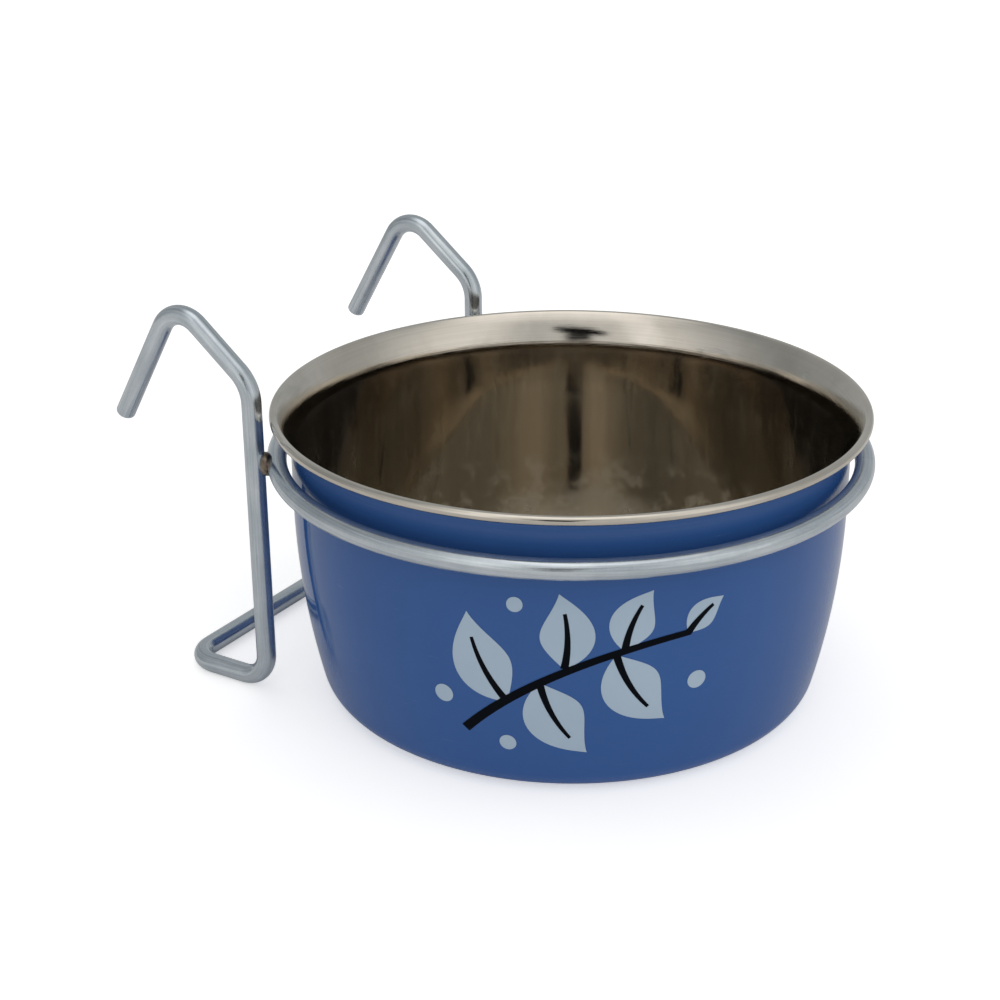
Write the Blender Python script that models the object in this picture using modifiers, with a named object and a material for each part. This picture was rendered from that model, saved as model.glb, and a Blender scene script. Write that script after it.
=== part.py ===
# Hook-on feeder cup: a pressed steel cup that lifts out of a wire holder.
# Metres. The cup stands on z = 0 with its axis on Z, and the hooks point to +Y.

from math import acos, asin, atan, atan2, ceil, cos, pi, sin, sqrt, tan

import bpy
from mathutils import Vector

MM = 0.001

# Cup
SHEET = 0.8 * MM  # thickness of the pressed steel
WALL_RADIUS = 56.0 * MM  # outside, at the widest level of the straight wall
CUP_DEPTH = 59.5 * MM  # from the underside to the middle of the rolled edge
LIP_OVERHANG = 4.0 * MM  # how far the rolled edge stands out past the wall
BEAD_RADIUS = 0.9 * MM  # the rolled edge's own section
FLARE_HEIGHT = 7.5 * MM  # height over which the lip opens
BELLY_HEIGHT = 42.0 * MM  # below this level the wall draws in
BASE_INSET = 5.6 * MM  # how far it has drawn in at the floor
BASE_CORNER = 5.9 * MM  # outside radius between wall and base

# Wire holder
WIRE_RADIUS = 2.0 * MM
RING_PLAY = 0.9 * MM  # between the wall and the ring's inside
CUP_DROP = 5.0 * MM  # how far the standing cup could still sink before its lip seats on the ring
UPRIGHT_SPACING = 81.0 * MM  # between the uprights' centre lines
SHOULDER_RISE = 7.3 * MM  # top of the uprights above the rolled edge
APEX_RISE = 14.8 * MM  # hook's peak above the shoulder
APEX_BACK = 17.9 * MM  # hook's peak behind the uprights
LEG_BACK = 15.6 * MM  # hook's end behind the peak
LEG_DROP = 26.9 * MM  # hook's end below the peak
FOOT_DEPTH = 20.4 * MM  # brace behind the uprights
BEND_RADIUS = 6.0 * MM  # of the wire's centre line
SHOULDER_BEND = 8.0 * MM
END_CHAMFER = 0.5 * MM  # at the two cut ends of the wire

# Spot welds
WELD_REACH = 2.5 * MM  # half the nugget's spread over the crossing
WELD_DEPTH = 1.3 * MM  # half its extent through the crossing
WELD_FIT = 0.05 * MM  # between a nugget and the wires it joins

SEAT_GAP = 0.3 * MM  # between pieces that touch

# Resolution
TURN_STEPS = 80
TUBE_SIDES = 12
CHORD_ERROR = 0.05 * MM  # how far a facet may cut inside the curve it stands for

# Sizes that follow from those above
BEAD_CENTRE = WALL_RADIUS + LIP_OVERHANG - BEAD_RADIUS
FLARE_START = CUP_DEPTH - FLARE_HEIGHT
FLARE_OUT = LIP_OVERHANG - 2 * BEAD_RADIUS + SHEET
FLARE_ANGLE = 2 * atan(FLARE_OUT / FLARE_HEIGHT)
FLARE_RADIUS = FLARE_HEIGHT / sin(FLARE_ANGLE) - SHEET + BEAD_RADIUS
FLARE_AXIS = WALL_RADIUS + FLARE_RADIUS
BELLY_RADIUS = (BELLY_HEIGHT**2 + BASE_INSET**2) / (2 * BASE_INSET)
BELLY_AXIS = WALL_RADIUS - BELLY_RADIUS
CORNER_AXIS = BELLY_AXIS + sqrt((BELLY_RADIUS - BASE_CORNER) ** 2 - (BELLY_HEIGHT - BASE_CORNER) ** 2)
CORNER_ANGLE = asin((BELLY_HEIGHT - BASE_CORNER) / (BELLY_RADIUS - BASE_CORNER))
RING_RADIUS = WALL_RADIUS + RING_PLAY + WIRE_RADIUS
SEAT_RISE = sqrt((FLARE_RADIUS - WIRE_RADIUS - SEAT_GAP) ** 2 - (FLARE_RADIUS - WIRE_RADIUS - RING_PLAY) ** 2)
RING_HEIGHT = FLARE_START + SEAT_RISE - CUP_DROP
UPRIGHT_RADIUS = RING_RADIUS + 2 * WIRE_RADIUS + SEAT_GAP
UPRIGHT_SIDE = UPRIGHT_SPACING / 2
UPRIGHT_BACK = sqrt(UPRIGHT_RADIUS**2 - UPRIGHT_SIDE**2)


def clear_scene():
    for obj in list(bpy.data.objects):
        bpy.data.objects.remove(obj, do_unlink=True)


def new_collection(name):
    made = bpy.data.collections.new(name)
    bpy.context.scene.collection.children.link(made)
    return made


def put_in(obj, collection):
    for holder in list(obj.users_collection):
        holder.objects.unlink(obj)
    collection.objects.link(obj)


def material(name, colour, roughness, metallic):
    made = bpy.data.materials.new(name)
    made.use_nodes = True
    shader = made.node_tree.nodes["Principled BSDF"]
    shader.inputs["Base Color"].default_value = (*colour, 1.0)
    shader.inputs["Roughness"].default_value = roughness
    shader.inputs["Metallic"].default_value = metallic
    made.diffuse_color = (*colour, 1.0)
    return made


def facets(radius, sweep):
    return max(2, ceil(abs(sweep) / (2 * acos(1 - CHORD_ERROR / radius))))


def arc(centre_r, centre_z, radius, start, end):
    # Points on a circle in the profile's plane, both ends included.
    count = facets(radius, end - start)
    angles = [start + (end - start) * i / count for i in range(count + 1)]
    return [(centre_r + radius * cos(a), centre_z + radius * sin(a)) for a in angles]


def cup_profile():
    # Up the inside, over the rolled edge and down the outside.
    inside = [(0.0, SHEET)]
    inside += arc(CORNER_AXIS, BASE_CORNER, BASE_CORNER - SHEET, -pi / 2, -CORNER_ANGLE)
    inside += arc(BELLY_AXIS, BELLY_HEIGHT, BELLY_RADIUS - SHEET, -CORNER_ANGLE, 0)[1:]
    flare_inside = arc(FLARE_AXIS, FLARE_START, FLARE_RADIUS + SHEET, pi, pi - FLARE_ANGLE)
    curl_start = pi - FLARE_ANGLE
    curl_end = -pi / 2 - FLARE_ANGLE - asin((BEAD_RADIUS - SHEET) / BEAD_RADIUS)
    curl = arc(BEAD_CENTRE, CUP_DEPTH, BEAD_RADIUS, curl_start, curl_end)[1:]
    flare_outside = arc(FLARE_AXIS, FLARE_START, FLARE_RADIUS, pi - FLARE_ANGLE, pi)
    below_curl = [point for point in flare_outside if point[1] < curl[-1][1]]
    outside = arc(BELLY_AXIS, BELLY_HEIGHT, BELLY_RADIUS, 0, -CORNER_ANGLE)
    outside += arc(CORNER_AXIS, BASE_CORNER, BASE_CORNER, -CORNER_ANGLE, -pi / 2)[1:]
    outside += [(0.0, 0.0)]
    return inside + flare_inside + curl + below_curl + outside


def turned(name, profile):
    mesh = bpy.data.meshes.new(name)
    points = [(r, 0.0, z) for r, z in profile]
    mesh.from_pydata(points, [(i, i + 1) for i in range(len(points) - 1)], [])
    obj = bpy.data.objects.new(name, mesh)
    screw = obj.modifiers.new("Turn", "SCREW")
    screw.axis = "Z"
    screw.steps = TURN_STEPS
    screw.render_steps = TURN_STEPS
    screw.use_merge_vertices = True
    screw.merge_threshold = 0.00001
    screw.use_smooth_shade = True
    return obj


def rounded_path(corners):
    # corners: (point, bend radius), the first and last with radius 0.
    path = [corners[0][0]]
    for (before, _), (corner, radius), (after, _) in zip(corners, corners[1:], corners[2:]):
        back = (before - corner).normalized()
        ahead = (after - corner).normalized()
        half = acos(max(-1.0, min(1.0, back.dot(ahead)))) / 2
        centre = corner + (back + ahead).normalized() * (radius / sin(half))
        start = corner + back * (radius / tan(half)) - centre
        across = corner + ahead * (radius / tan(half)) - centre
        normal = start.cross(across).normalized()
        side = normal.cross(start)
        sweep = pi - 2 * half
        count = facets(radius, sweep)
        for i in range(count + 1):
            turn = sweep * i / count
            path.append(centre + start * cos(turn) + side * sin(turn))
    path.append(corners[-1][0])
    return path


def frame_corners():
    shoulder = CUP_DEPTH + SHOULDER_RISE
    peak = shoulder + APEX_RISE
    floor = WIRE_RADIUS
    side_view = [
        (UPRIGHT_BACK + APEX_BACK + LEG_BACK, peak - LEG_DROP, 0.0),
        (UPRIGHT_BACK + APEX_BACK, peak, BEND_RADIUS),
        (UPRIGHT_BACK, shoulder, SHOULDER_BEND),
        (UPRIGHT_BACK, floor, BEND_RADIUS),
        (UPRIGHT_BACK + FOOT_DEPTH, floor, BEND_RADIUS),
    ]
    left = [(Vector((-UPRIGHT_SIDE, y, z)), bend) for y, z, bend in side_view]
    right = [(Vector((UPRIGHT_SIDE, y, z)), bend) for y, z, bend in reversed(side_view)]
    return left + right


def wire(name, path):
    curve = bpy.data.curves.new(name, "CURVE")
    curve.dimensions = "3D"
    curve.bevel_depth = WIRE_RADIUS
    curve.bevel_resolution = TUBE_SIDES // 2 - 2
    curve.use_fill_caps = True
    spline = curve.splines.new("POLY")
    first = path[0] + (path[1] - path[0]).normalized() * END_CHAMFER
    last = path[-1] + (path[-2] - path[-1]).normalized() * END_CHAMFER
    points = [path[0], first, *path[1:-1], last, path[-1]]
    spline.points.add(len(points) - 1)
    for spot, place in zip(spline.points, points):
        spot.co = (*place, 1.0)
    for end in (spline.points[0], spline.points[-1]):
        end.radius = 1 - END_CHAMFER / WIRE_RADIUS
    return bpy.data.objects.new(name, curve)


def hoop(name, radius, section):
    bpy.ops.mesh.primitive_torus_add(
        major_radius=radius,
        minor_radius=section,
        major_segments=TURN_STEPS,
        minor_segments=TUBE_SIDES,
        location=(0, 0, RING_HEIGHT),
    )
    obj = bpy.context.object
    obj.name = name
    obj.data.shade_smooth()
    return obj


def rod(name, section, x, y, low, high):
    bpy.ops.mesh.primitive_cylinder_add(
        vertices=TUBE_SIDES,
        radius=section,
        depth=high - low,
        location=(x, y, (low + high) / 2),
    )
    obj = bpy.context.object
    obj.name = name
    return obj


def cut(obj, cutter):
    step = obj.modifiers.new("Cut " + cutter.name, "BOOLEAN")
    step.operation = "DIFFERENCE"
    step.solver = "EXACT"
    step.object = cutter


def weld(name, side, ring_cutter, cutters):
    # A flattened bead in the crossing of ring and upright, cut back from both.
    turn = atan2(UPRIGHT_BACK, side * UPRIGHT_SIDE)
    out = RING_RADIUS + WIRE_RADIUS + SEAT_GAP / 2
    bpy.ops.mesh.primitive_uv_sphere_add(
        segments=16,
        ring_count=10,
        radius=WELD_REACH,
        location=(out * cos(turn), out * sin(turn), RING_HEIGHT),
        rotation=(0, 0, turn),
    )
    nugget = bpy.context.object
    nugget.name = name
    nugget.data.shade_smooth()
    nugget.scale = (WELD_DEPTH / WELD_REACH, 1, 1)
    low = RING_HEIGHT - 2 * WELD_REACH
    high = RING_HEIGHT + 2 * WELD_REACH
    section = WIRE_RADIUS + WELD_FIT
    upright_cutter = rod(name + "_cutter", section, side * UPRIGHT_SIDE, UPRIGHT_BACK, low, high)
    put_in(upright_cutter, cutters)
    cut(nugget, ring_cutter)
    cut(nugget, upright_cutter)
    return nugget


def build():
    clear_scene()
    product = new_collection("feeder_cup")
    cutters = new_collection("cutters")
    cutters.hide_render = True

    blue_paint = material("blue_paint", (0.036, 0.083, 0.214), 0.18, 0.0)
    plated_wire = material("plated_wire", (0.50, 0.53, 0.56), 0.32, 1.0)
    weld_steel = material("weld_steel", (0.28, 0.20, 0.13), 0.45, 1.0)

    holder = bpy.data.objects.new("holder", None)
    product.objects.link(holder)

    cup = turned("cup", cup_profile())
    cup.data.materials.append(blue_paint)
    product.objects.link(cup)

    frame = wire("frame_wire", rounded_path(frame_corners()))
    frame.data.materials.append(plated_wire)
    product.objects.link(frame)
    frame.parent = holder

    ring = hoop("ring", RING_RADIUS, WIRE_RADIUS)
    ring.data.materials.append(plated_wire)
    put_in(ring, product)
    ring.parent = holder

    ring_cutter = hoop("ring_cutter", RING_RADIUS, WIRE_RADIUS + WELD_FIT)
    put_in(ring_cutter, cutters)
    for name, side in (("weld_left", -1), ("weld_right", 1)):
        nugget = weld(name, side, ring_cutter, cutters)
        nugget.data.materials.append(weld_steel)
        put_in(nugget, product)
        nugget.parent = holder

    for cutter in cutters.objects:
        cutter.hide_render = True
        cutter.display_type = "WIRE"


build()
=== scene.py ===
from math import asin, atan, atan2, cos, pi, radians, sin, sqrt

import bmesh
import bpy
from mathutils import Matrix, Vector, noise


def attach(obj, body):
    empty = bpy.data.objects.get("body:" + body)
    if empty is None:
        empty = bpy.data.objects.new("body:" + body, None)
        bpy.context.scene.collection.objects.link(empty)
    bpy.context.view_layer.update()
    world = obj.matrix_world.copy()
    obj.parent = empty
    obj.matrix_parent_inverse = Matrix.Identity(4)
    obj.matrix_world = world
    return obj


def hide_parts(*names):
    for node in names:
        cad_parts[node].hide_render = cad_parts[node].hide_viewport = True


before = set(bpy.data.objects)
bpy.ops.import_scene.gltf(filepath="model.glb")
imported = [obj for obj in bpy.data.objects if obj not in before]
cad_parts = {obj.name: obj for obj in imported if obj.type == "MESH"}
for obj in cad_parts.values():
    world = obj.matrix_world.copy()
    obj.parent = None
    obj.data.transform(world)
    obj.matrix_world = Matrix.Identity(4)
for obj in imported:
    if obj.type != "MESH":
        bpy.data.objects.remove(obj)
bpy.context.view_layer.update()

mm = 0.001
scene = bpy.context.scene

# Feeder cup: a painted steel cup in a bent wire holder.
# Z is up along the cup's axis, and the hooks point to +Y.


# Small helpers

def finished(mesh, name):
    obj = bpy.data.objects.new(name, mesh)
    scene.collection.objects.link(obj)
    return obj


def baked(obj, name):
    # The evaluated object as a plain mesh under its own name.
    graph = bpy.context.evaluated_depsgraph_get()
    mesh = bpy.data.meshes.new_from_object(obj.evaluated_get(graph))
    mesh.name = name
    bpy.data.objects.remove(obj, do_unlink=True)
    return finished(mesh, name)


def arcPoints(centre, radius, start, end, count):
    angles = [start + (end - start) * i / count for i in range(count + 1)]
    return [(centre[0] + radius * cos(a), centre[1] + radius * sin(a)) for a in angles]


class Nodes:
    # Adds nodes to a tree and links them in one call.
    def __init__(self, tree):
        self.tree = tree

    def add(self, kind, settings=None, **sockets):
        node = self.tree.nodes.new(kind)
        for key, value in (settings or {}).items():
            setattr(node, key, value)
        for key, value in sockets.items():
            self.feed(node, key.replace("_", " "), value)
        return node

    def feed(self, node, socket, value):
        # A socket goes by its name, or by its number, as in i0.
        numbered = socket[0] == "i" and socket[1:].isdigit()
        target = node.inputs[int(socket[1:]) if numbered else socket]
        if isinstance(value, bpy.types.NodeSocket):
            self.tree.links.new(value, target)
        else:
            target.default_value = value

    def math(self, operation, a, b=0.0, clamp=False):
        settings = {"operation": operation, "use_clamp": clamp}
        return self.add("ShaderNodeMath", settings, i0=a, i1=b).outputs[0]

    def vector(self, operation, a, b=(0.0, 0.0, 0.0)):
        return self.add("ShaderNodeVectorMath", {"operation": operation}, i0=a, i1=b).outputs

    def total(self, start, *parts):
        # A start value plus each part times its share.
        for part, share in parts:
            start = self.math("ADD", self.math("MULTIPLY", part, share), start)
        return start

    def grow(self, value, low, high, start=0.0, end=1.0, smooth=True):
        # Goes from start to end while the value goes from low to high.
        kind = "SMOOTHSTEP" if smooth else "LINEAR"
        node = self.add("ShaderNodeMapRange", {"interpolation_type": kind}, Value=value)
        for socket, level in (("From Min", low), ("From Max", high), ("To Min", start), ("To Max", end)):
            node.inputs[socket].default_value = level
        return node.outputs["Result"]

    def between(self, value, low, high, soft):
        # 1 between two levels, with soft ends.
        rise = self.grow(value, low - soft, low + soft)
        fall = self.grow(value, high - soft, high + soft)
        return self.math("SUBTRACT", rise, fall, clamp=True)

    def ramp(self, value, stops, blend="LINEAR"):
        node = self.add("ShaderNodeValToRGB", None, Fac=value)
        node.color_ramp.interpolation = blend
        elements = node.color_ramp.elements
        while len(elements) < len(stops):
            elements.new(0.5)
        for element, (place, colour) in zip(elements, stops):
            element.position = place
            element.color = (*colour, 1.0)
        return node.outputs["Color"]

    def fade(self, value, low, high):
        # Black up to low, white from high on.
        return self.ramp(value, ((low, (0.0, 0.0, 0.0)), (high, (1.0, 1.0, 1.0))))

    def mix(self, factor, a, b, blend="MIX"):
        ends = [end if isinstance(end, bpy.types.NodeSocket) else (*end, 1.0) for end in (a, b)]
        settings = {"data_type": "RGBA", "blend_type": blend}
        return self.add("ShaderNodeMix", settings, i0=factor, i6=ends[0], i7=ends[1]).outputs[2]

    def blend(self, factor, a, b):
        return self.add("ShaderNodeMix", {"data_type": "FLOAT"}, i0=factor, i2=a, i3=b).outputs[0]

    def noise(self, vector, scale, detail, rough):
        return self.add(
            "ShaderNodeTexNoise", None, Vector=vector, Scale=scale, Detail=detail, Roughness=rough
        ).outputs["Fac"]

    def bump(self, shader, height, strength, depth):
        # depth is in mm.
        bump = self.add("ShaderNodeBump", None, Strength=strength, Distance=depth * mm, Height=height)
        self.feed(shader, "Normal", bump.outputs[0])


def newMaterial(name):
    made = bpy.data.materials.new(name)
    made.use_nodes = True
    shader = made.node_tree.nodes["Principled BSDF"]
    return made, Nodes(made.node_tree), shader


# Camera, at the photograph's viewpoint

cameraSetup = {
    "place": (-315.18, -178.63, 192.11),  # mm
    "turn": (67.0, 0.34, -58.37),  # degrees
    "lens": 69.16,  # mm
    "sensor": 36.0,  # mm
    "nearest": 10.0,  # mm
}


def makeCamera():
    data = bpy.data.cameras.new("photoCamera")
    data.lens = cameraSetup["lens"]
    data.sensor_width = cameraSetup["sensor"]
    data.clip_start = cameraSetup["nearest"] * mm
    camera = bpy.data.objects.new("photoCamera", data)
    camera.location = Vector(cameraSetup["place"]) * mm
    camera.rotation_euler = [radians(a) for a in cameraSetup["turn"]]
    scene.collection.objects.link(camera)
    scene.camera = camera


makeCamera()
print("camera set")


# The cup's section, in mm from its axis and from its underside

cupSizes = {
    "sheet": 0.8,
    "wallRadius": 56.0,
    "depth": 59.5,
    "overhang": 4.0,
    "beadRadius": 0.9,
    "flareHeight": 7.5,
    "bellyHeight": 42.0,
    "baseInset": 5.6,
    "baseCorner": 5.9,
    "steps": 288,
    "flareSteps": 24,
    "bellySteps": 30,
    "cornerSteps": 14,
    "curlSteps": 22,
}


def cupForm():
    s = cupSizes
    flareOut = s["overhang"] - 2 * s["beadRadius"] + s["sheet"]
    flareAngle = 2 * atan(flareOut / s["flareHeight"])
    flareRadius = s["flareHeight"] / sin(flareAngle) - s["sheet"] + s["beadRadius"]
    bellyRadius = (s["bellyHeight"] ** 2 + s["baseInset"] ** 2) / (2 * s["baseInset"])
    bellyAxis = s["wallRadius"] - bellyRadius
    reach = bellyRadius - s["baseCorner"]
    rise = s["bellyHeight"] - s["baseCorner"]
    return {
        "flareStart": s["depth"] - s["flareHeight"],
        "flareAngle": flareAngle,
        "flareRadius": flareRadius,
        "flareAxis": s["wallRadius"] + flareRadius,
        "bellyRadius": bellyRadius,
        "bellyAxis": bellyAxis,
        "cornerAxis": bellyAxis + sqrt(reach**2 - rise**2),
        "cornerAngle": asin(rise / reach),
        "beadCentre": s["wallRadius"] + s["overhang"] - s["beadRadius"],
    }


form = cupForm()


def cupSection():
    # Up the inside, round the rolled edge and down the outside.
    s, f = cupSizes, form
    corner = (f["cornerAxis"], s["baseCorner"])
    belly = (f["bellyAxis"], s["bellyHeight"])
    flare = (f["flareAxis"], f["flareStart"])
    lean = f["flareAngle"]
    halfway = f["cornerAxis"] / 2
    inside = [(0.0, s["sheet"]), (halfway, s["sheet"])]
    inside += arcPoints(
        corner, s["baseCorner"] - s["sheet"], -pi / 2, -f["cornerAngle"], s["cornerSteps"]
    )
    inside += arcPoints(belly, f["bellyRadius"] - s["sheet"], -f["cornerAngle"], 0, s["bellySteps"])[1:]
    inside += arcPoints(flare, f["flareRadius"] + s["sheet"], pi, pi - lean, s["flareSteps"])
    curlEnd = -pi / 2 - lean - asin((s["beadRadius"] - s["sheet"]) / s["beadRadius"])
    bead = (f["beadCentre"], s["depth"])
    curl = arcPoints(bead, s["beadRadius"], pi - lean, curlEnd, s["curlSteps"])[1:]
    flareBack = arcPoints(flare, f["flareRadius"], pi - lean, pi, s["flareSteps"])
    flareBack = [point for point in flareBack if point[1] < curl[-1][1]]
    outside = arcPoints(belly, f["bellyRadius"], 0, -f["cornerAngle"], s["bellySteps"])
    outside += arcPoints(corner, s["baseCorner"], -f["cornerAngle"], -pi / 2, s["cornerSteps"])[1:]
    outside += [(halfway, 0.0), (0.0, 0.0)]
    steelPart = inside + curl
    return steelPart + flareBack + outside, len(steelPart)


def makeCup(steel, paint):
    section, steelCount = cupSection()
    steps = cupSizes["steps"]
    turns = [2 * pi * i / steps for i in range(steps)]
    mesh = bmesh.new()
    rows = []
    for r, z in section:
        around = turns if r else turns[:1]
        rows.append([mesh.verts.new((r * cos(a) * mm, r * sin(a) * mm, z * mm)) for a in around])
    for level, (low, high) in enumerate(zip(rows, rows[1:])):
        for i in range(steps):
            j = (i + 1) % steps
            around = [low[i % len(low)], low[j % len(low)], high[j % len(high)], high[i % len(high)]]
            face = mesh.faces.new(list(dict.fromkeys(around)))
            face.smooth = True
            face.material_index = 0 if level < steelCount - 1 else 1
    bmesh.ops.recalc_face_normals(mesh, faces=mesh.faces)
    data = bpy.data.meshes.new("painted_cup")
    mesh.to_mesh(data)
    mesh.free()
    data.materials.append(steel)
    data.materials.append(paint)
    return finished(data, "painted_cup")


# Steel of the cup's inside and lip

steelLook = {
    "lipColour": (0.745, 0.685, 0.60),
    "wallColour": (0.502, 0.454, 0.380),
    "lipStart": 50.5,  # mm up, where the wall's finish turns into the lip's
    "lipEnd": 53.0,
    "baseStart": 1.0,  # mm up, where the floor's finish turns into the wall's
    "baseEnd": 7.0,
    # The base corner's paler colour is a painted highlight.
    "cornerHighlightColour": (0.72, 0.655, 0.55),
    "cornerHighlightShare": 0.40,
    "cornerLow": 1.6,
    "cornerHigh": 8.0,
    "cornerSoft": 1.2,
    "smudgeColour": (0.72, 0.69, 0.63),
    "smudgeShare": 0.45,
    "smudgeLow": 10.0,
    "smudgeHigh": 26.0,
    "smudgeSoft": 3.0,
    "smudgeEdge": (0.49, 0.62),
    # The dried patch's pale colour is partly painted light.
    "driedAndLitColour": (0.70, 0.66, 0.59),
    "driedAndLitShare": 0.70,
    "driedSide": 27.0,  # degrees round from +X, where water has dried at the bottom of the wall; the patch's paleness is partly painted light
    "driedHalf": 21.0,
    "driedFade": 10.0,
    "driedTop": 18.5,  # mm
    "driedSoft": 4.5,
    "driedRagged": 20.0,
    # noise: scale round the cup, scale along it, detail and roughness
    "rings": (1.6, 3.2, 4.0, 0.65),
    "turned": (0.9, 1.1, 5.0, 0.7),
    "streaks": (14.0, 0.012, 4.0, 0.65),
    "marks": (9.0, 0.16, 4.0, 0.6),
    "ripple": (6.0, 0.06, 1.6, 0.5),
    # noise that runs all ways: scale, detail and roughness
    "haze": (48.0, 4.0, 0.6),
    "drops": (85.0, 3.0, 0.5),
    "streakTones": ((0.30, (0.86, 0.85, 0.84)), (0.52, (0.97, 0.97, 0.97)), (0.70, (1.0, 1.0, 1.0))),
    "ringTones": ((0.28, (0.89, 0.89, 0.90)), (0.72, (1.0, 1.0, 1.0))),
    "hazeTones": ((0.36, (0.84, 0.84, 0.83)), (0.60, (1.0, 1.0, 1.0))),
    "metalTones": ((0.35, (0.965,) * 3), (0.60, (0.988,) * 3), (0.75, (1.0,) * 3)),
    "driedChalk": 0.055,
    "smudgeChalk": 0.025,
    "wallRoughness": 0.015,  # to which streaks, marks and the floor's rings add
    "streakRoughness": 0.05,
    "smudgeRoughness": 0.10,
    "driedRoughness": 0.16,
    "baseRoughness": 0.14,
    "lipRoughness": 0.03,
    "ringRoughness": 0.08,
    "bump": 0.10,
    "bumpDepth": 0.2,  # mm
}


def flatReach(n, x, y):
    return n.math("SQRT", n.math("ADD", n.math("MULTIPLY", x, x), n.math("MULTIPLY", y, y)))


def aroundAndUp(n):
    # Direction round the cup as a unit pair, and height and radius in mm.
    place = n.add("ShaderNodeTexCoord").outputs["Object"]
    x, y, z = n.add("ShaderNodeSeparateXYZ", None, Vector=place).outputs
    angle = n.math("ARCTAN2", y, x)
    pair = (n.math("COSINE", angle), n.math("SINE", angle))
    return place, pair, n.math("MULTIPLY", z, 1 / mm), n.math("MULTIPLY", flatReach(n, x, y), 1 / mm)


def streaky(n, pair, along, grain):
    # Noise that runs in streaks: slow round the cup, or slow along it.
    roundScale, alongScale, detail, rough = grain
    place = n.add(
        "ShaderNodeCombineXYZ", None,
        X=n.math("MULTIPLY", pair[0], roundScale),
        Y=n.math("MULTIPLY", pair[1], roundScale),
        Z=n.math("MULTIPLY", along, alongScale),
    )
    return n.noise(place.outputs[0], 1.0, detail, rough)


def driedWaterAndLight(n, place, pair, height):
    # A patch with ragged edges at the foot of the wall, round one side of the cup: dried water, whose pale
    # colour is partly painted light.
    look = steelLook
    side = radians(look["driedSide"])
    facing = n.total(0.0, (pair[0], cos(side)), (pair[1], sin(side)))
    away = n.math("MULTIPLY", n.math("ARCCOSINE", facing), 180 / pi)
    drops = n.math("SUBTRACT", n.noise(place, *look["drops"]), 0.5)
    ragged = n.total(height, (drops, look["driedRagged"]))
    low = n.between(ragged, 0.0, look["driedTop"], look["driedSoft"])
    half, fade = look["driedHalf"], look["driedFade"]
    return n.math("MULTIPLY", low, n.grow(away, half - fade, half + fade, 1.0, 0.0))


def polishedSteel():
    look = steelLook
    made, n, shader = newMaterial("polished_steel")
    place, pair, height, radius = aroundAndUp(n)
    lip = n.grow(height, look["lipStart"], look["lipEnd"])
    base = n.grow(height, look["baseStart"], look["baseEnd"], 1.0, 0.0)
    spun = n.math("ADD", height, radius)  # grows all the way along the lip's section
    rings = streaky(n, pair, spun, look["rings"])
    turned = streaky(n, pair, spun, look["turned"])

    # Wall and floor: the wall was polished upright and the floor turned. The corner between them is
    # coloured paler, a painted highlight where its curve catches the light.
    streaks = n.blend(base, streaky(n, pair, height, look["streaks"]), turned)
    wall = n.mix(1.0, look["wallColour"], n.ramp(streaks, look["streakTones"]), "MULTIPLY")
    corner = n.between(height, look["cornerLow"], look["cornerHigh"], look["cornerSoft"])
    wall = n.mix(n.math("MULTIPLY", corner, look["cornerHighlightShare"]), wall, look["cornerHighlightColour"])

    # Pale water marks near the bottom of the wall, and on one side a patch of dried water whose pale
    # colour is partly painted light
    marks = n.fade(streaky(n, pair, height, look["marks"]), *look["smudgeEdge"])
    marked = n.between(height, look["smudgeLow"], look["smudgeHigh"], look["smudgeSoft"])
    smudge = n.math("MULTIPLY", marks, marked)
    driedAndLit = n.math("MULTIPLY", driedWaterAndLight(n, place, pair, height), n.math("SUBTRACT", 1.0, base))
    wall = n.mix(n.math("MULTIPLY", smudge, look["smudgeShare"]), wall, look["smudgeColour"])
    wall = n.mix(n.math("MULTIPLY", driedAndLit, look["driedAndLitShare"]), wall, look["driedAndLitColour"])

    # Lip: fine rings left by spinning, and a little haze
    haze = n.ramp(n.noise(place, *look["haze"]), look["hazeTones"])
    sheen = n.mix(1.0, n.ramp(rings, look["ringTones"]), haze, "MULTIPLY")
    lipTone = n.mix(1.0, look["lipColour"], sheen, "MULTIPLY")
    n.feed(shader, "Base Color", n.mix(lip, wall, lipTone))

    # A trace of grime scatters a little light in the streaks of the wall, and dried water more.
    chalk = n.total(0.0, (driedAndLit, look["driedChalk"]), (smudge, look["smudgeChalk"]))
    metal = n.math("SUBTRACT", n.ramp(streaks, look["metalTones"]), chalk)
    n.feed(shader, "Metallic", n.math("MAXIMUM", metal, lip))
    wallRough = n.total(
        look["wallRoughness"],
        (streaks, look["streakRoughness"]),
        (smudge, look["smudgeRoughness"]),
        (driedAndLit, look["driedRoughness"]),
        (base, look["baseRoughness"]),
    )
    lipRough = n.total(look["lipRoughness"], (rings, look["ringRoughness"]))
    n.feed(shader, "Roughness", n.blend(lip, wallRough, lipRough))
    ripple = n.blend(base, streaky(n, pair, height, look["ripple"]), turned)
    n.bump(shader, n.blend(lip, ripple, rings), look["bump"], look["bumpDepth"])
    return made


# Blue gloss paint

paintLook = {
    "colour": (0.0275, 0.089, 0.270),
    "roughness": 0.02,
    "gloss": 0.36,
    "wear": 1.0,
    "rubAndSheenLow": 53.2,  # mm up, where the ring rubs the flare; the pale lines there are partly wear and partly a painted sheen
    "rubAndSheenHigh": 56.2,
    "rubAndSheen": 0.064,
    "scratch": 0.035,
    "wearAndSheenColour": (0.8, 0.85, 0.9),
    "cloud": (55.0, 4.0, 0.55),
    "cloudTones": ((0.30, (0.93, 0.94, 0.95)), (0.70, (1.0, 1.0, 1.0))),
    "cloudRoughness": 0.06,
    "scratches": (5.0, 1.6, 5.0, 0.7),
    "scratchEdge": (0.66, 0.70),
    "scratchRoughness": 0.08,
    "rubAndSheenLines": (1.2, 5.5, 4.0, 0.7),
    "peel": (420.0, 2.0, 0.5),
    "bump": 0.04,
    "bumpDepth": 0.3,  # mm
}


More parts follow.
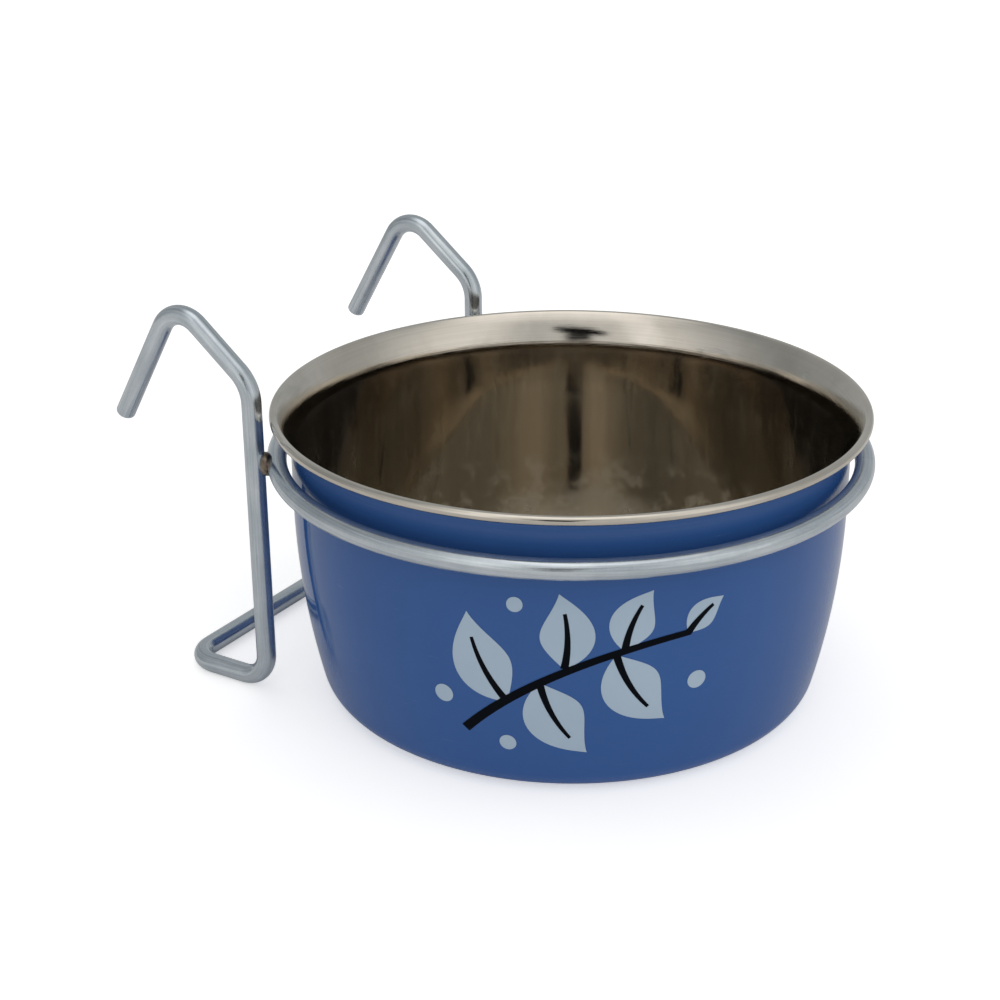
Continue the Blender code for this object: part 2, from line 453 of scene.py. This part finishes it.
def paintFinish(name, colour, roughness, gloss, wear):
    # Gloss enamel: a clouded tone, a few fine scratches, slight orange peel, and pale lines under the bead
    # that are partly wear and partly a painted sheen.
    look = paintLook
    made, n, shader = newMaterial(name)
    place, pair, height, _ = aroundAndUp(n)
    cloud = n.noise(place, *look["cloud"])
    painted = n.mix(1.0, colour, n.ramp(cloud, look["cloudTones"]), "MULTIPLY")
    scratch = n.fade(streaky(n, pair, height, look["scratches"]), *look["scratchEdge"])
    # Pale lines in the band under the bead: wear where the ring rubs, and partly a painted sheen
    rubAndSheenBand = n.grow(height, look["rubAndSheenLow"], look["rubAndSheenHigh"])
    lines = n.math("MULTIPLY", streaky(n, pair, height, look["rubAndSheenLines"]), look["rubAndSheen"])
    wearAndSheen = n.math("MAXIMUM", n.math("MULTIPLY", rubAndSheenBand, lines),
                  n.math("MULTIPLY", scratch, look["scratch"] * wear))
    n.feed(shader, "Base Color", n.mix(wearAndSheen, painted, look["wearAndSheenColour"]))
    rough = n.total(roughness, (cloud, look["cloudRoughness"]), (scratch, look["scratchRoughness"]))
    n.feed(shader, "Roughness", rough)
    shader.inputs["Specular IOR Level"].default_value = gloss
    n.bump(shader, n.noise(place, *look["peel"]), look["bump"], look["bumpDepth"])
    return made


def bluePaint():
    look = paintLook
    return paintFinish("blue_gloss_paint", look["colour"], look["roughness"], look["gloss"], look["wear"])


cup = makeCup(polishedSteel(), bluePaint())
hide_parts("cup")
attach(cup, "cup")
print("cup turned:", len(cup.data.polygons), "faces")


# Printed sprig on the front of the wall, as thin ink on the paint

printSizes = {
    "centre": 211.5,  # degrees round the cup from +X
    "height": 26.0,  # mm above the underside
    "paleLift": 0.04,  # mm above the paint
    "blackLift": 0.07,
    "step": 1.2,  # mm, about a facet's width, and twice its length
    "fewestSteps": 4,
    "dotSteps": 16,
    "stemWidth": 1.9,
    "stemTaper": 0.35,
    "stem": ((-22.0, -12.5), (21.0, 8.5), 4.5),  # start, end and bow
    # leaves: start, tip, half width and bow, in mm right and up from the centre
    "leaves": (
        ((-13.2, -5.0), (-20.5, 13.0), 5.6, 1.5),
        ((-7.0, -0.5), (2.0, -16.0), 5.8, -1.5),
        ((-2.5, 2.8), (-3.5, 18.0), 5.0, -1.0),
        ((7.0, 5.4), (17.0, -9.5), 5.6, -1.5),
        ((8.5, 6.2), (13.5, 18.0), 4.2, 1.0),
        ((20.5, 8.4), (27.5, 14.5), 2.8, 0.6),
    ),
    "leafBelly": 0.82,  # below 1 the leaf is widest nearer its start
    "leafPoint": 1.1,  # above 1 its ends are more pointed
    "leafEnd": 0.02,  # mm, half its width at the ends
    "ribWidth": 1.5,
    "ribTaper": 0.55,
    "ribReach": 0.74,  # share of the leaf
    "ribBow": 0.55,
    # berries: place and radius
    "berries": (((-26.0, -5.5), 1.9), ((-13.5, -14.5), 1.7), ((23.0, -2.0), 1.9), ((-11.5, 15.5), 1.5)),
}
inkLook = {
    "pale": (0.355, 0.445, 0.535),
    "black": (0.0015, 0.0025, 0.0045),
    "roughness": 0.13,
    "paleGloss": 0.30,
    "blackGloss": 0.05,
    "wear": 0.3,
}
paleSlot, blackSlot = 0, 1


def wallAt(z):
    # The wall's outside radius in mm at a height in mm.
    if z >= cupSizes["bellyHeight"]:
        return cupSizes["wallRadius"]
    return form["bellyAxis"] + sqrt(form["bellyRadius"] ** 2 - (cupSizes["bellyHeight"] - z) ** 2)


def onWall(right, up, lift):
    z = printSizes["height"] + up
    turn = radians(printSizes["centre"]) + right / cupSizes["wallRadius"]
    out = wallAt(z) + lift
    return Vector((out * cos(turn), out * sin(turn), z)) * mm


def addStrip(mesh, left, right, lift, slot):
    # Facets between two edge lines of equal count.
    widest = max((Vector(a) - Vector(b)).length for a, b in zip(left, right))
    across = max(1, round(widest / printSizes["step"]))
    rows = []
    for a, b in zip(left, right):
        spots = [Vector(a).lerp(Vector(b), i / across) for i in range(across + 1)]
        rows.append([mesh.verts.new(onWall(spot.x, spot.y, lift)) for spot in spots])
    for low, high in zip(rows, rows[1:]):
        for i in range(across):
            face = mesh.faces.new((low[i], low[i + 1], high[i + 1], high[i]))
            face.material_index = slot
            face.smooth = True


def bowed(start, end, bow, share):
    # A place along a line bent into a parabola, and the direction square to it.
    start, end = Vector(start), Vector(end)
    along = end - start
    square = Vector((-along.y, along.x)).normalized()
    place = start + along * share + square * bow * 4 * share * (1 - share)
    heading = along + square * bow * 4 * (1 - 2 * share)
    return place, Vector((-heading.y, heading.x)).normalized()


def addStroke(mesh, start, end, bow, halfAt, lift, slot):
    facets = round((Vector(end) - Vector(start)).length / printSizes["step"])
    count = max(printSizes["fewestSteps"], 2 * facets)
    left, right = [], []
    for i in range(count + 1):
        share = i / count
        place, square = bowed(start, end, bow, share)
        left.append(place + square * halfAt(share))
        right.append(place - square * halfAt(share))
    addStrip(mesh, left, right, lift, slot)


def leafHalf(half):
    p = printSizes
    return lambda share: half * sin(pi * share ** p["leafBelly"]) ** p["leafPoint"] + p["leafEnd"]


def lineHalf(width, taper):
    return lambda share: width / 2 * (1 - taper * share)


def addDot(mesh, centre, radius, lift, slot):
    left, right = [], []
    for i in range(printSizes["dotSteps"] + 1):
        turn = pi * i / printSizes["dotSteps"]
        up = centre[1] + radius * cos(turn)
        left.append((centre[0] - radius * sin(turn), up))
        right.append((centre[0] + radius * sin(turn), up))
    addStrip(mesh, left, right, lift, slot)


def makePrint(paleInk, blackInk):
    p = printSizes
    mesh = bmesh.new()
    ribHalf = lineHalf(p["ribWidth"], p["ribTaper"])
    for start, tip, half, bow in p["leaves"]:
        addStroke(mesh, start, tip, bow, leafHalf(half), p["paleLift"], paleSlot)
        ribTip = bowed(start, tip, bow, p["ribReach"])[0]
        addStroke(mesh, start, ribTip, bow * p["ribBow"], ribHalf, p["blackLift"], blackSlot)
    for centre, radius in p["berries"]:
        addDot(mesh, centre, radius, p["paleLift"], paleSlot)
    start, end, bow = p["stem"]
    stemHalf = lineHalf(p["stemWidth"], p["stemTaper"])
    addStroke(mesh, start, end, bow, stemHalf, p["blackLift"], blackSlot)
    bmesh.ops.remove_doubles(mesh, verts=mesh.verts, dist=0.001 * mm)
    for face in mesh.faces:
        middle = face.calc_center_median()
        if face.normal.dot(Vector((middle.x, middle.y, 0))) < 0:
            face.normal_flip()
    data = bpy.data.meshes.new("sprig_print")
    mesh.to_mesh(data)
    mesh.free()
    data.materials.append(paleInk)
    data.materials.append(blackInk)
    return finished(data, "sprig_print")


def printInk(name, colour, gloss):
    return paintFinish(name, colour, inkLook["roughness"], gloss, inkLook["wear"])


sprig = makePrint(
    printInk("pale_ink", inkLook["pale"], inkLook["paleGloss"]),
    printInk("black_ink", inkLook["black"], inkLook["blackGloss"]),
)
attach(sprig, "cup")
print("sprig printed:", len(sprig.data.polygons), "faces")


# The wire holder, in mm

wireSizes = {
    "wireRadius": 2.0,
    "ringPlay": 0.9,
    "cupDrop": 5.0,
    "seatGap": 0.3,
    "spacing": 81.0,
    "shoulderRise": 7.3,
    "apexRise": 14.8,
    "apexBack": 17.9,
    "legBack": 15.6,
    "legDrop": 26.9,
    "footDepth": 20.4,
    "bend": 6.0,
    "shoulderBend": 8.0,
    "endRound": 0.7,
    "endSteps": 5,
    "sides": 40,
    "bendSteps": 18,
    "ringSteps": 288,
}


def holderForm():
    w, f = wireSizes, form
    ring = cupSizes["wallRadius"] + w["ringPlay"] + w["wireRadius"]
    seat = f["flareRadius"] - w["wireRadius"]
    seatRise = sqrt((seat - w["seatGap"]) ** 2 - (seat - w["ringPlay"]) ** 2)
    reach = ring + 2 * w["wireRadius"] + w["seatGap"]
    side = w["spacing"] / 2
    return {
        "ring": ring,
        "height": f["flareStart"] + seatRise - w["cupDrop"],
        "side": side,
        "back": sqrt(reach**2 - side**2),
    }


holder = holderForm()


def sweepTree():
    # Rounds a path's corners and sweeps the wire's round section along it.
    tree = bpy.data.node_groups.new("wireSweep", "GeometryNodeTree")
    tree.interface.new_socket("Geometry", in_out="INPUT", socket_type="NodeSocketGeometry")
    for label, kind in (
        ("Wire Radius", "NodeSocketFloat"),
        ("Sides", "NodeSocketInt"),
        ("Bend Steps", "NodeSocketInt"),
        ("Finish", "NodeSocketMaterial"),
    ):
        tree.interface.new_socket(label, in_out="INPUT", socket_type=kind)
    tree.interface.new_socket("Geometry", in_out="OUTPUT", socket_type="NodeSocketGeometry")
    n = Nodes(tree)
    start = n.add("NodeGroupInput").outputs
    asFloat = {"data_type": "FLOAT"}
    bend = n.add("GeometryNodeInputNamedAttribute", asFloat, Name="bendRadius").outputs[0]
    share = n.add("GeometryNodeInputNamedAttribute", asFloat, Name="share").outputs[0]
    line = n.add("GeometryNodeMeshToCurve", None, Mesh=start["Geometry"])
    rounded = n.add("GeometryNodeFilletCurve", {"mode": "POLY"}, Curve=line.outputs[0], Radius=bend,
                    Limit_Radius=True)
    n.feed(rounded, "Count", start["Bend Steps"])
    circle = n.add("GeometryNodeCurvePrimitiveCircle", None, Resolution=start["Sides"])
    n.feed(circle, "Radius", start["Wire Radius"])
    spot = n.add("GeometryNodeInputPosition").outputs[0]
    marked = n.add("GeometryNodeStoreNamedAttribute", {"data_type": "FLOAT_VECTOR", "domain": "POINT"},
                   Geometry=circle.outputs[0], Name="section", Value=spot)
    swept = n.add("GeometryNodeCurveToMesh", None, Curve=rounded.outputs[0],
                  Profile_Curve=marked.outputs[0], Scale=share, Fill_Caps=True)
    soft = n.add("GeometryNodeSetShadeSmooth", None, Geometry=swept.outputs[0])
    real = n.add("GeometryNodeRealizeInstances", None, Geometry=soft.outputs[0])
    coated = n.add("GeometryNodeSetMaterial", None, Geometry=real.outputs[0], Material=start["Finish"])
    n.add("NodeGroupOutput", None, Geometry=coated.outputs[0])
    return tree


def sweptWire(name, path, tree, finish, cyclic=False):
    # path: (place in mm, bend radius in mm, share of the full section)
    last = len(path) - 1
    edges = [(i, i + 1) for i in range(last)] + ([(last, 0)] if cyclic else [])
    data = bpy.data.meshes.new(name + "_path")
    data.from_pydata([Vector(place) * mm for place, _, _ in path], edges, [])
    bends = data.attributes.new("bendRadius", "FLOAT", "POINT")
    shares = data.attributes.new("share", "FLOAT", "POINT")
    for i, (_, bend, share) in enumerate(path):
        bends.data[i].value = bend * mm
        shares.data[i].value = share
    obj = finished(data, name + "_path")
    modifier = obj.modifiers.new("Sweep", "NODES")
    modifier.node_group = tree
    wanted = {
        "Wire Radius": wireSizes["wireRadius"] * mm,
        "Sides": wireSizes["sides"],
        "Bend Steps": wireSizes["bendSteps"],
        "Finish": finish,
    }
    for item in tree.interface.items_tree:
        if item.in_out == "INPUT" and item.name in wanted:
            modifier[item.identifier] = wanted[item.name]
    return baked(obj, name)


def framePath():
    w, h = wireSizes, holder
    shoulder = cupSizes["depth"] + w["shoulderRise"]
    peak = shoulder + w["apexRise"]
    apexBack = h["back"] + w["apexBack"]
    tip = Vector((apexBack + w["legBack"], peak - w["legDrop"]))
    inward = (Vector((apexBack, peak)) - tip).normalized()
    left = []
    for i in range(w["endSteps"] + 1):  # the cut end's rounded edge
        turn = pi / 2 * i / w["endSteps"]
        spot = tip + inward * w["endRound"] * (1 - cos(turn))
        share = 1 - w["endRound"] / w["wireRadius"] * (1 - sin(turn))
        left.append(((spot.x, spot.y), 0.0, share))
    left += [
        ((apexBack, peak), w["bend"], 1.0),
        ((h["back"], shoulder), w["shoulderBend"], 1.0),
        ((h["back"], w["wireRadius"]), w["bend"], 1.0),
        ((h["back"] + w["footDepth"], w["wireRadius"]), w["bend"], 1.0),
    ]
    path = [((-h["side"], y, z), bend, share) for (y, z), bend, share in left]
    path += [((h["side"], y, z), bend, share) for (y, z), bend, share in reversed(left)]
    return path


def ringPath():
    steps = wireSizes["ringSteps"]
    r, z = holder["ring"], holder["height"]
    turns = [2 * pi * i / steps for i in range(steps)]
    return [((r * cos(turn), r * sin(turn), z), 0.0, 1.0) for turn in turns]


# Bright zinc on drawn wire

zincLook = {
    "colour": (0.725, 0.770, 0.800),
    "darkColour": (0.50, 0.545, 0.58),
    "metallic": 0.89,  # the rest is zinc's chalky bloom
    "roughness": 0.15,
    "toneRoughness": 0.10,
    "stretch": 40.0,  # how far the streaks run along the wire
    # noise: scale, detail and roughness
    "drawn": (60.0, 4.0, 0.6),
    "grain": (1100.0, 3.0, 0.6),
    "spots": (90.0, 4.0, 0.6),
    "drawnEdge": (0.34, 0.66),
    "grainEdge": (0.36, 0.64),
    "drawnShare": 0.88,
    "grainShare": 0.12,
    "spotTones": ((0.35, (0.84, 0.86, 0.87)), (0.65, (1.0, 1.0, 1.0))),
    "bump": 0.045,
    "bumpDepth": 0.1,  # mm
}


def zincWire():
    look = zincLook
    made, n, shader = newMaterial("bright_zinc")
    place = n.add("ShaderNodeTexCoord").outputs["Object"]
    section = n.add("ShaderNodeAttribute", {"attribute_name": "section"}).outputs["Vector"]
    stretched = n.vector("MULTIPLY", section, (look["stretch"],) * 3)[0]
    drawn = n.fade(n.noise(n.vector("ADD", stretched, place)[0], *look["drawn"]), *look["drawnEdge"])
    grain = n.fade(n.noise(place, *look["grain"]), *look["grainEdge"])
    share = n.total(0.0, (drawn, look["drawnShare"]), (grain, look["grainShare"]))
    spots = n.ramp(n.noise(place, *look["spots"]), look["spotTones"])
    tone = n.mix(share, look["darkColour"], look["colour"])
    n.feed(shader, "Base Color", n.mix(1.0, tone, spots, "MULTIPLY"))
    shader.inputs["Metallic"].default_value = look["metallic"]
    n.feed(shader, "Roughness", n.total(look["roughness"], (share, look["toneRoughness"])))
    n.bump(shader, share, look["bump"], look["bumpDepth"])
    return made


zinc = zincWire()
sweep = sweepTree()
frameWire = sweptWire("bent_frame", framePath(), sweep, zinc)
ring = sweptWire("support_ring", ringPath(), sweep, zinc, cyclic=True)
for piece, node in ((frameWire, "frame_wire"), (ring, "ring")):
    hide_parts(node)
    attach(piece, "holder")
print("wires bent:", len(frameWire.data.polygons), "and", len(ring.data.polygons), "faces")


# Spot welds

weldSizes = {
    "across": 1.5,  # mm, half the nugget's depth through the crossing
    "reach": 2.5,  # mm, half its spread
    "rough": 0.22,  # mm, how uneven its skin is
    "lumps": 1.7,  # scale of the skin's noise
    "variety": 5.0,  # shifts each weld's lumps, so that the two differ
    "segments": 40,
}
weldLook = {
    "blotch": (600.0, 4.0, 0.6),
    "blotchTones": ((0.30, (0.10, 0.075, 0.055)), (0.48, (0.28, 0.215, 0.16)), (0.66, (0.46, 0.40, 0.34))),
    "roughness": 0.25,
    "blotchRoughness": 0.3,
    "pits": (2500.0, 3.0, 0.6),
    "bump": 0.5,
    "bumpDepth": 0.1,  # mm
}


def burntSteel():
    look = weldLook
    made, n, shader = newMaterial("burnt_weld")
    place = n.add("ShaderNodeTexCoord").outputs["Object"]
    blotch = n.noise(place, *look["blotch"])
    n.feed(shader, "Base Color", n.ramp(blotch, look["blotchTones"]))
    shader.inputs["Metallic"].default_value = 1.0
    n.feed(shader, "Roughness", n.total(look["roughness"], (blotch, look["blotchRoughness"])))
    n.bump(shader, n.noise(place, *look["pits"]), look["bump"], look["bumpDepth"])
    return made


def weldPlace(side):
    # Where the ring meets an upright, in mm.
    h = holder
    turn = atan2(h["back"], h["side"])
    out = h["ring"] + wireSizes["wireRadius"] + wireSizes["seatGap"] / 2
    return Vector((side * out * cos(turn), out * sin(turn), h["height"]))


def makeWeld(name, side, finish):
    w = weldSizes
    centre = weldPlace(side)
    turn = atan2(centre.y, centre.x)
    out, along = Vector((cos(turn), sin(turn), 0)), Vector((-sin(turn), cos(turn), 0))
    shift = Vector((side * w["variety"], 0, 0))
    mesh = bmesh.new()
    bmesh.ops.create_uvsphere(mesh, u_segments=w["segments"], v_segments=w["segments"] // 2, radius=1.0)
    for vert in mesh.verts:
        way = vert.co.copy()
        swell = 1 + w["rough"] / w["reach"] * noise.noise(way * w["lumps"] + shift)
        spread = w["reach"] * swell
        through = out * way.x * w["across"] * swell
        vert.co = (centre + through + along * way.y * spread + Vector((0, 0, way.z * spread))) * mm
    bmesh.ops.recalc_face_normals(mesh, faces=mesh.faces)
    for face in mesh.faces:
        face.smooth = True
    data = bpy.data.meshes.new(name)
    mesh.to_mesh(data)
    mesh.free()
    data.materials.append(finish)
    return finished(data, name)


burnt = burntSteel()
for name, node, side in (("left_nugget", "weld_left", -1), ("right_nugget", "weld_right", 1)):
    nugget = makeWeld(name, side, burnt)
    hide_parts(node)
    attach(nugget, "holder")
print("welds set")


# Floor and light

studio = {
    "floorSize": 6.0,  # m
    "floorDrop": 0.2,  # mm below the object
    "floorColour": (0.86, 0.86, 0.86),
    "floorInGloss": (0.79, 0.79, 0.79),
    # Glow on top of the lamps' light: the camera sees white, matt surfaces get less, and gloss none
    "floorCamera": 0.50,
    "floorFar": 0.66,  # what the camera gets further off, so that the floor runs into the background
    "floorFade": (0.25, 1.6),  # m
    "floorMatt": 0.30,
    "cupBore": 51.4,  # mm, the middle of the cup's sheet 5 mm above its underside
    "skyLight": 0.52,  # what matt surfaces get of the white background
    "front": 209.5,  # degrees round from +X, the side the room is lit from
    # The room as gloss mirrors it: degrees round from the front, and how bright
    "room": (
        (-180, 0.46), (-150, 0.42), (-130, 0.37), (-108, 0.32), (-92, 0.37), (-66, 0.54), (-46, 0.78),
        (-38, 1.06), (-31, 1.13), (-24, 0.74), (-12, 0.70), (4, 0.64), (16, 0.60), (26, 0.68), (38, 0.88),
        (52, 0.88), (66, 0.78), (78, 0.66), (92, 0.52), (116, 0.46), (150, 0.44), (180, 0.46),
    ),
    "dimTone": 0.40,
    "dimTint": (0.94, 1.0, 1.03),
    "brightTone": 0.80,
    "brightTint": (1.0, 1.0, 0.99),
    "overhead": 1.30,
    "overheadEdge": (57.0, 80.0),  # degrees up
    "overheadTilt": 20.0,  # degrees lower towards the front
    # A dark camera on its stand, in degrees: round from the front, up, lean, and half its width and height
    "dark": (-4.0, 26.5, 0.6, 10.0, 8.8),
    "darkTone": (0.01, 0.01, 0.01),
    "darkSquareness": 3.0,  # 2 gives an ellipse
    "darkEdge": (0.7, 1.35),
    "darkStand": (-9.0, 2.0, 4.0, 20.0),  # left, right, low and high
    "standSoft": 2.0,
    "standShare": 0.95,
    "lamps": (
        # place (m), aim (m), size (m), power (W)
        ("keyLamp", (-1.3, -1.2, 1.5), (0, 0, 0.04), 2.6, 12.0),
        ("fillLamp", (0.5, -1.9, 1.0), (0, 0, 0.04), 2.2, 5.0),
        ("topLamp", (0.5, 0.7, 1.9), (0, 0, 0.05), 2.2, 5.0),
    ),
}


def rayKinds(n):
    # Camera rays, and gloss and glass rays, which meet the background too.
    path = n.add("ShaderNodeLightPath").outputs
    return path["Is Camera Ray"], n.math("MAXIMUM", path["Is Glossy Ray"], path["Is Transmission Ray"])


def makeFloor(movingCup):
    s = studio
    half = s["floorSize"] / 2
    corners = [(-half, -half, 0), (half, -half, 0), (half, half, 0), (-half, half, 0)]
    data = bpy.data.meshes.new("studio_floor")
    data.from_pydata(corners, [], [(0, 1, 2, 3)])
    floor = finished(data, "studio_floor")
    floor.location.z = -s["floorDrop"] * mm
    made, n, shader = newMaterial("white_floor")
    n.tree.nodes.remove(shader)
    camera, gloss = rayKinds(n)
    matt = n.add("ShaderNodeBsdfDiffuse", None, Color=n.mix(gloss, s["floorColour"], s["floorInGloss"]))
    away = n.vector("LENGTH", n.add("ShaderNodeTexCoord").outputs["Object"])["Value"]
    seen = n.grow(away, *s["floorFade"], s["floorCamera"], s["floorFar"], smooth=False)
    neither = n.math("SUBTRACT", 1.0, n.math("MAXIMUM", camera, gloss))
    level = n.total(0.0, (camera, seen), (neither, s["floorMatt"]))
    glow = n.add("ShaderNodeEmission", None, Color=(1, 1, 1, 1), Strength=level)
    lit = n.add("ShaderNodeAddShader", None, i0=matt.outputs[0], i1=glow.outputs[0])
    # Where the hanging cup has sunk through the floor, no floor shows inside it.
    fromCup = n.add("ShaderNodeTexCoord", {"object": movingCup}).outputs["Object"]
    x, y, z = n.add("ShaderNodeSeparateXYZ", None, Vector=fromCup).outputs
    within = n.math("LESS_THAN", flatReach(n, x, y), s["cupBore"] * mm)
    sunk = n.math("MULTIPLY", within, n.math("GREATER_THAN", z, 0.0))
    clear = n.add("ShaderNodeBsdfTransparent")
    surface = n.add("ShaderNodeMixShader", None, Fac=sunk, i1=lit.outputs[0], i2=clear.outputs[0])
    n.feed(n.tree.nodes["Material Output"], "Surface", surface.outputs[0])
    data.materials.append(made)


def shade(tone):
    # The room's dim sides are a little cooler than its bright ones.
    s = studio
    share = (tone - s["dimTone"]) / (s["brightTone"] - s["dimTone"])
    tint = Vector(s["dimTint"]).lerp(Vector(s["brightTint"]), min(1.0, max(0.0, share)))
    return tuple(tone * tint)


def darkCamera(n, around, up):
    # 1 inside the outline of the dark camera and its stand.
    s = studio
    middle, level, lean, halfWidth, halfHeight = s["dark"]
    rise = n.math("SUBTRACT", up, level)
    offset = n.math("SUBTRACT", n.math("SUBTRACT", around, middle), n.math("MULTIPLY", rise, lean))
    shares = [
        n.math("POWER", n.math("ABSOLUTE", n.math("DIVIDE", reach, half)), s["darkSquareness"])
        for reach, half in ((offset, halfWidth), (rise, halfHeight))
    ]
    body = n.grow(n.math("ADD", *shares), *s["darkEdge"], 1.0, 0.0)
    left, right, low, high = s["darkStand"]
    soft = s["standSoft"]
    stand = n.math("MULTIPLY", n.between(around, left, right, soft), n.between(up, low, high, soft))
    return n.math("MAXIMUM", body, n.math("MULTIPLY", stand, s["standShare"]))


def makeWorld():
    s = studio
    world = bpy.data.worlds.new("studio")
    scene.world = world
    world.use_nodes = True
    n = Nodes(world.node_tree)
    camera, gloss = rayKinds(n)
    way = n.add("ShaderNodeTexCoord").outputs["Generated"]
    turn = -radians(s["front"])
    spun = n.add("ShaderNodeVectorRotate", {"rotation_type": "Z_AXIS"}, Vector=way, Angle=turn)
    x, y, z = n.add("ShaderNodeSeparateXYZ", None, Vector=spun.outputs[0]).outputs
    around = n.math("MULTIPLY", n.math("ARCTAN2", y, x), 180 / pi)
    up = n.math("MULTIPLY", n.math("ARCSINE", z), 180 / pi)
    share = n.math("DIVIDE", n.math("ADD", around, 180.0), 360.0)
    room = n.ramp(share, [((a + 180) / 360, shade(tone)) for a, tone in s["room"]], "B_SPLINE")
    # The light overhead reaches further down towards the front.
    lifted = n.grow(n.total(up, (x, s["overheadTilt"])), *s["overheadEdge"], smooth=False)
    room = n.mix(lifted, room, (s["overhead"],) * 3)
    room = n.mix(darkCamera(n, around, up), room, s["darkTone"])
    back = world.node_tree.nodes["Background"]
    n.feed(back, "Color", n.mix(gloss, (1.0, 1.0, 1.0), room))
    full = n.math("MAXIMUM", camera, gloss)
    n.feed(back, "Strength", n.total(s["skyLight"], (full, 1.0 - s["skyLight"])))


def makeLamps():
    for name, place, aim, size, power in studio["lamps"]:
        data = bpy.data.lights.new(name, "AREA")
        data.shape = "DISK"
        data.size = size
        data.energy = power
        lamp = bpy.data.objects.new(name, data)
        lamp.location = place
        lamp.rotation_euler = (Vector(aim) - Vector(place)).to_track_quat("-Z", "Y").to_euler()
        lamp.visible_glossy = False  # gloss mirrors the room, which is as bright there
        scene.collection.objects.link(lamp)


makeFloor(cup)
makeWorld()
makeLamps()
scene.view_settings.view_transform = "Standard"
print("floor and light set")
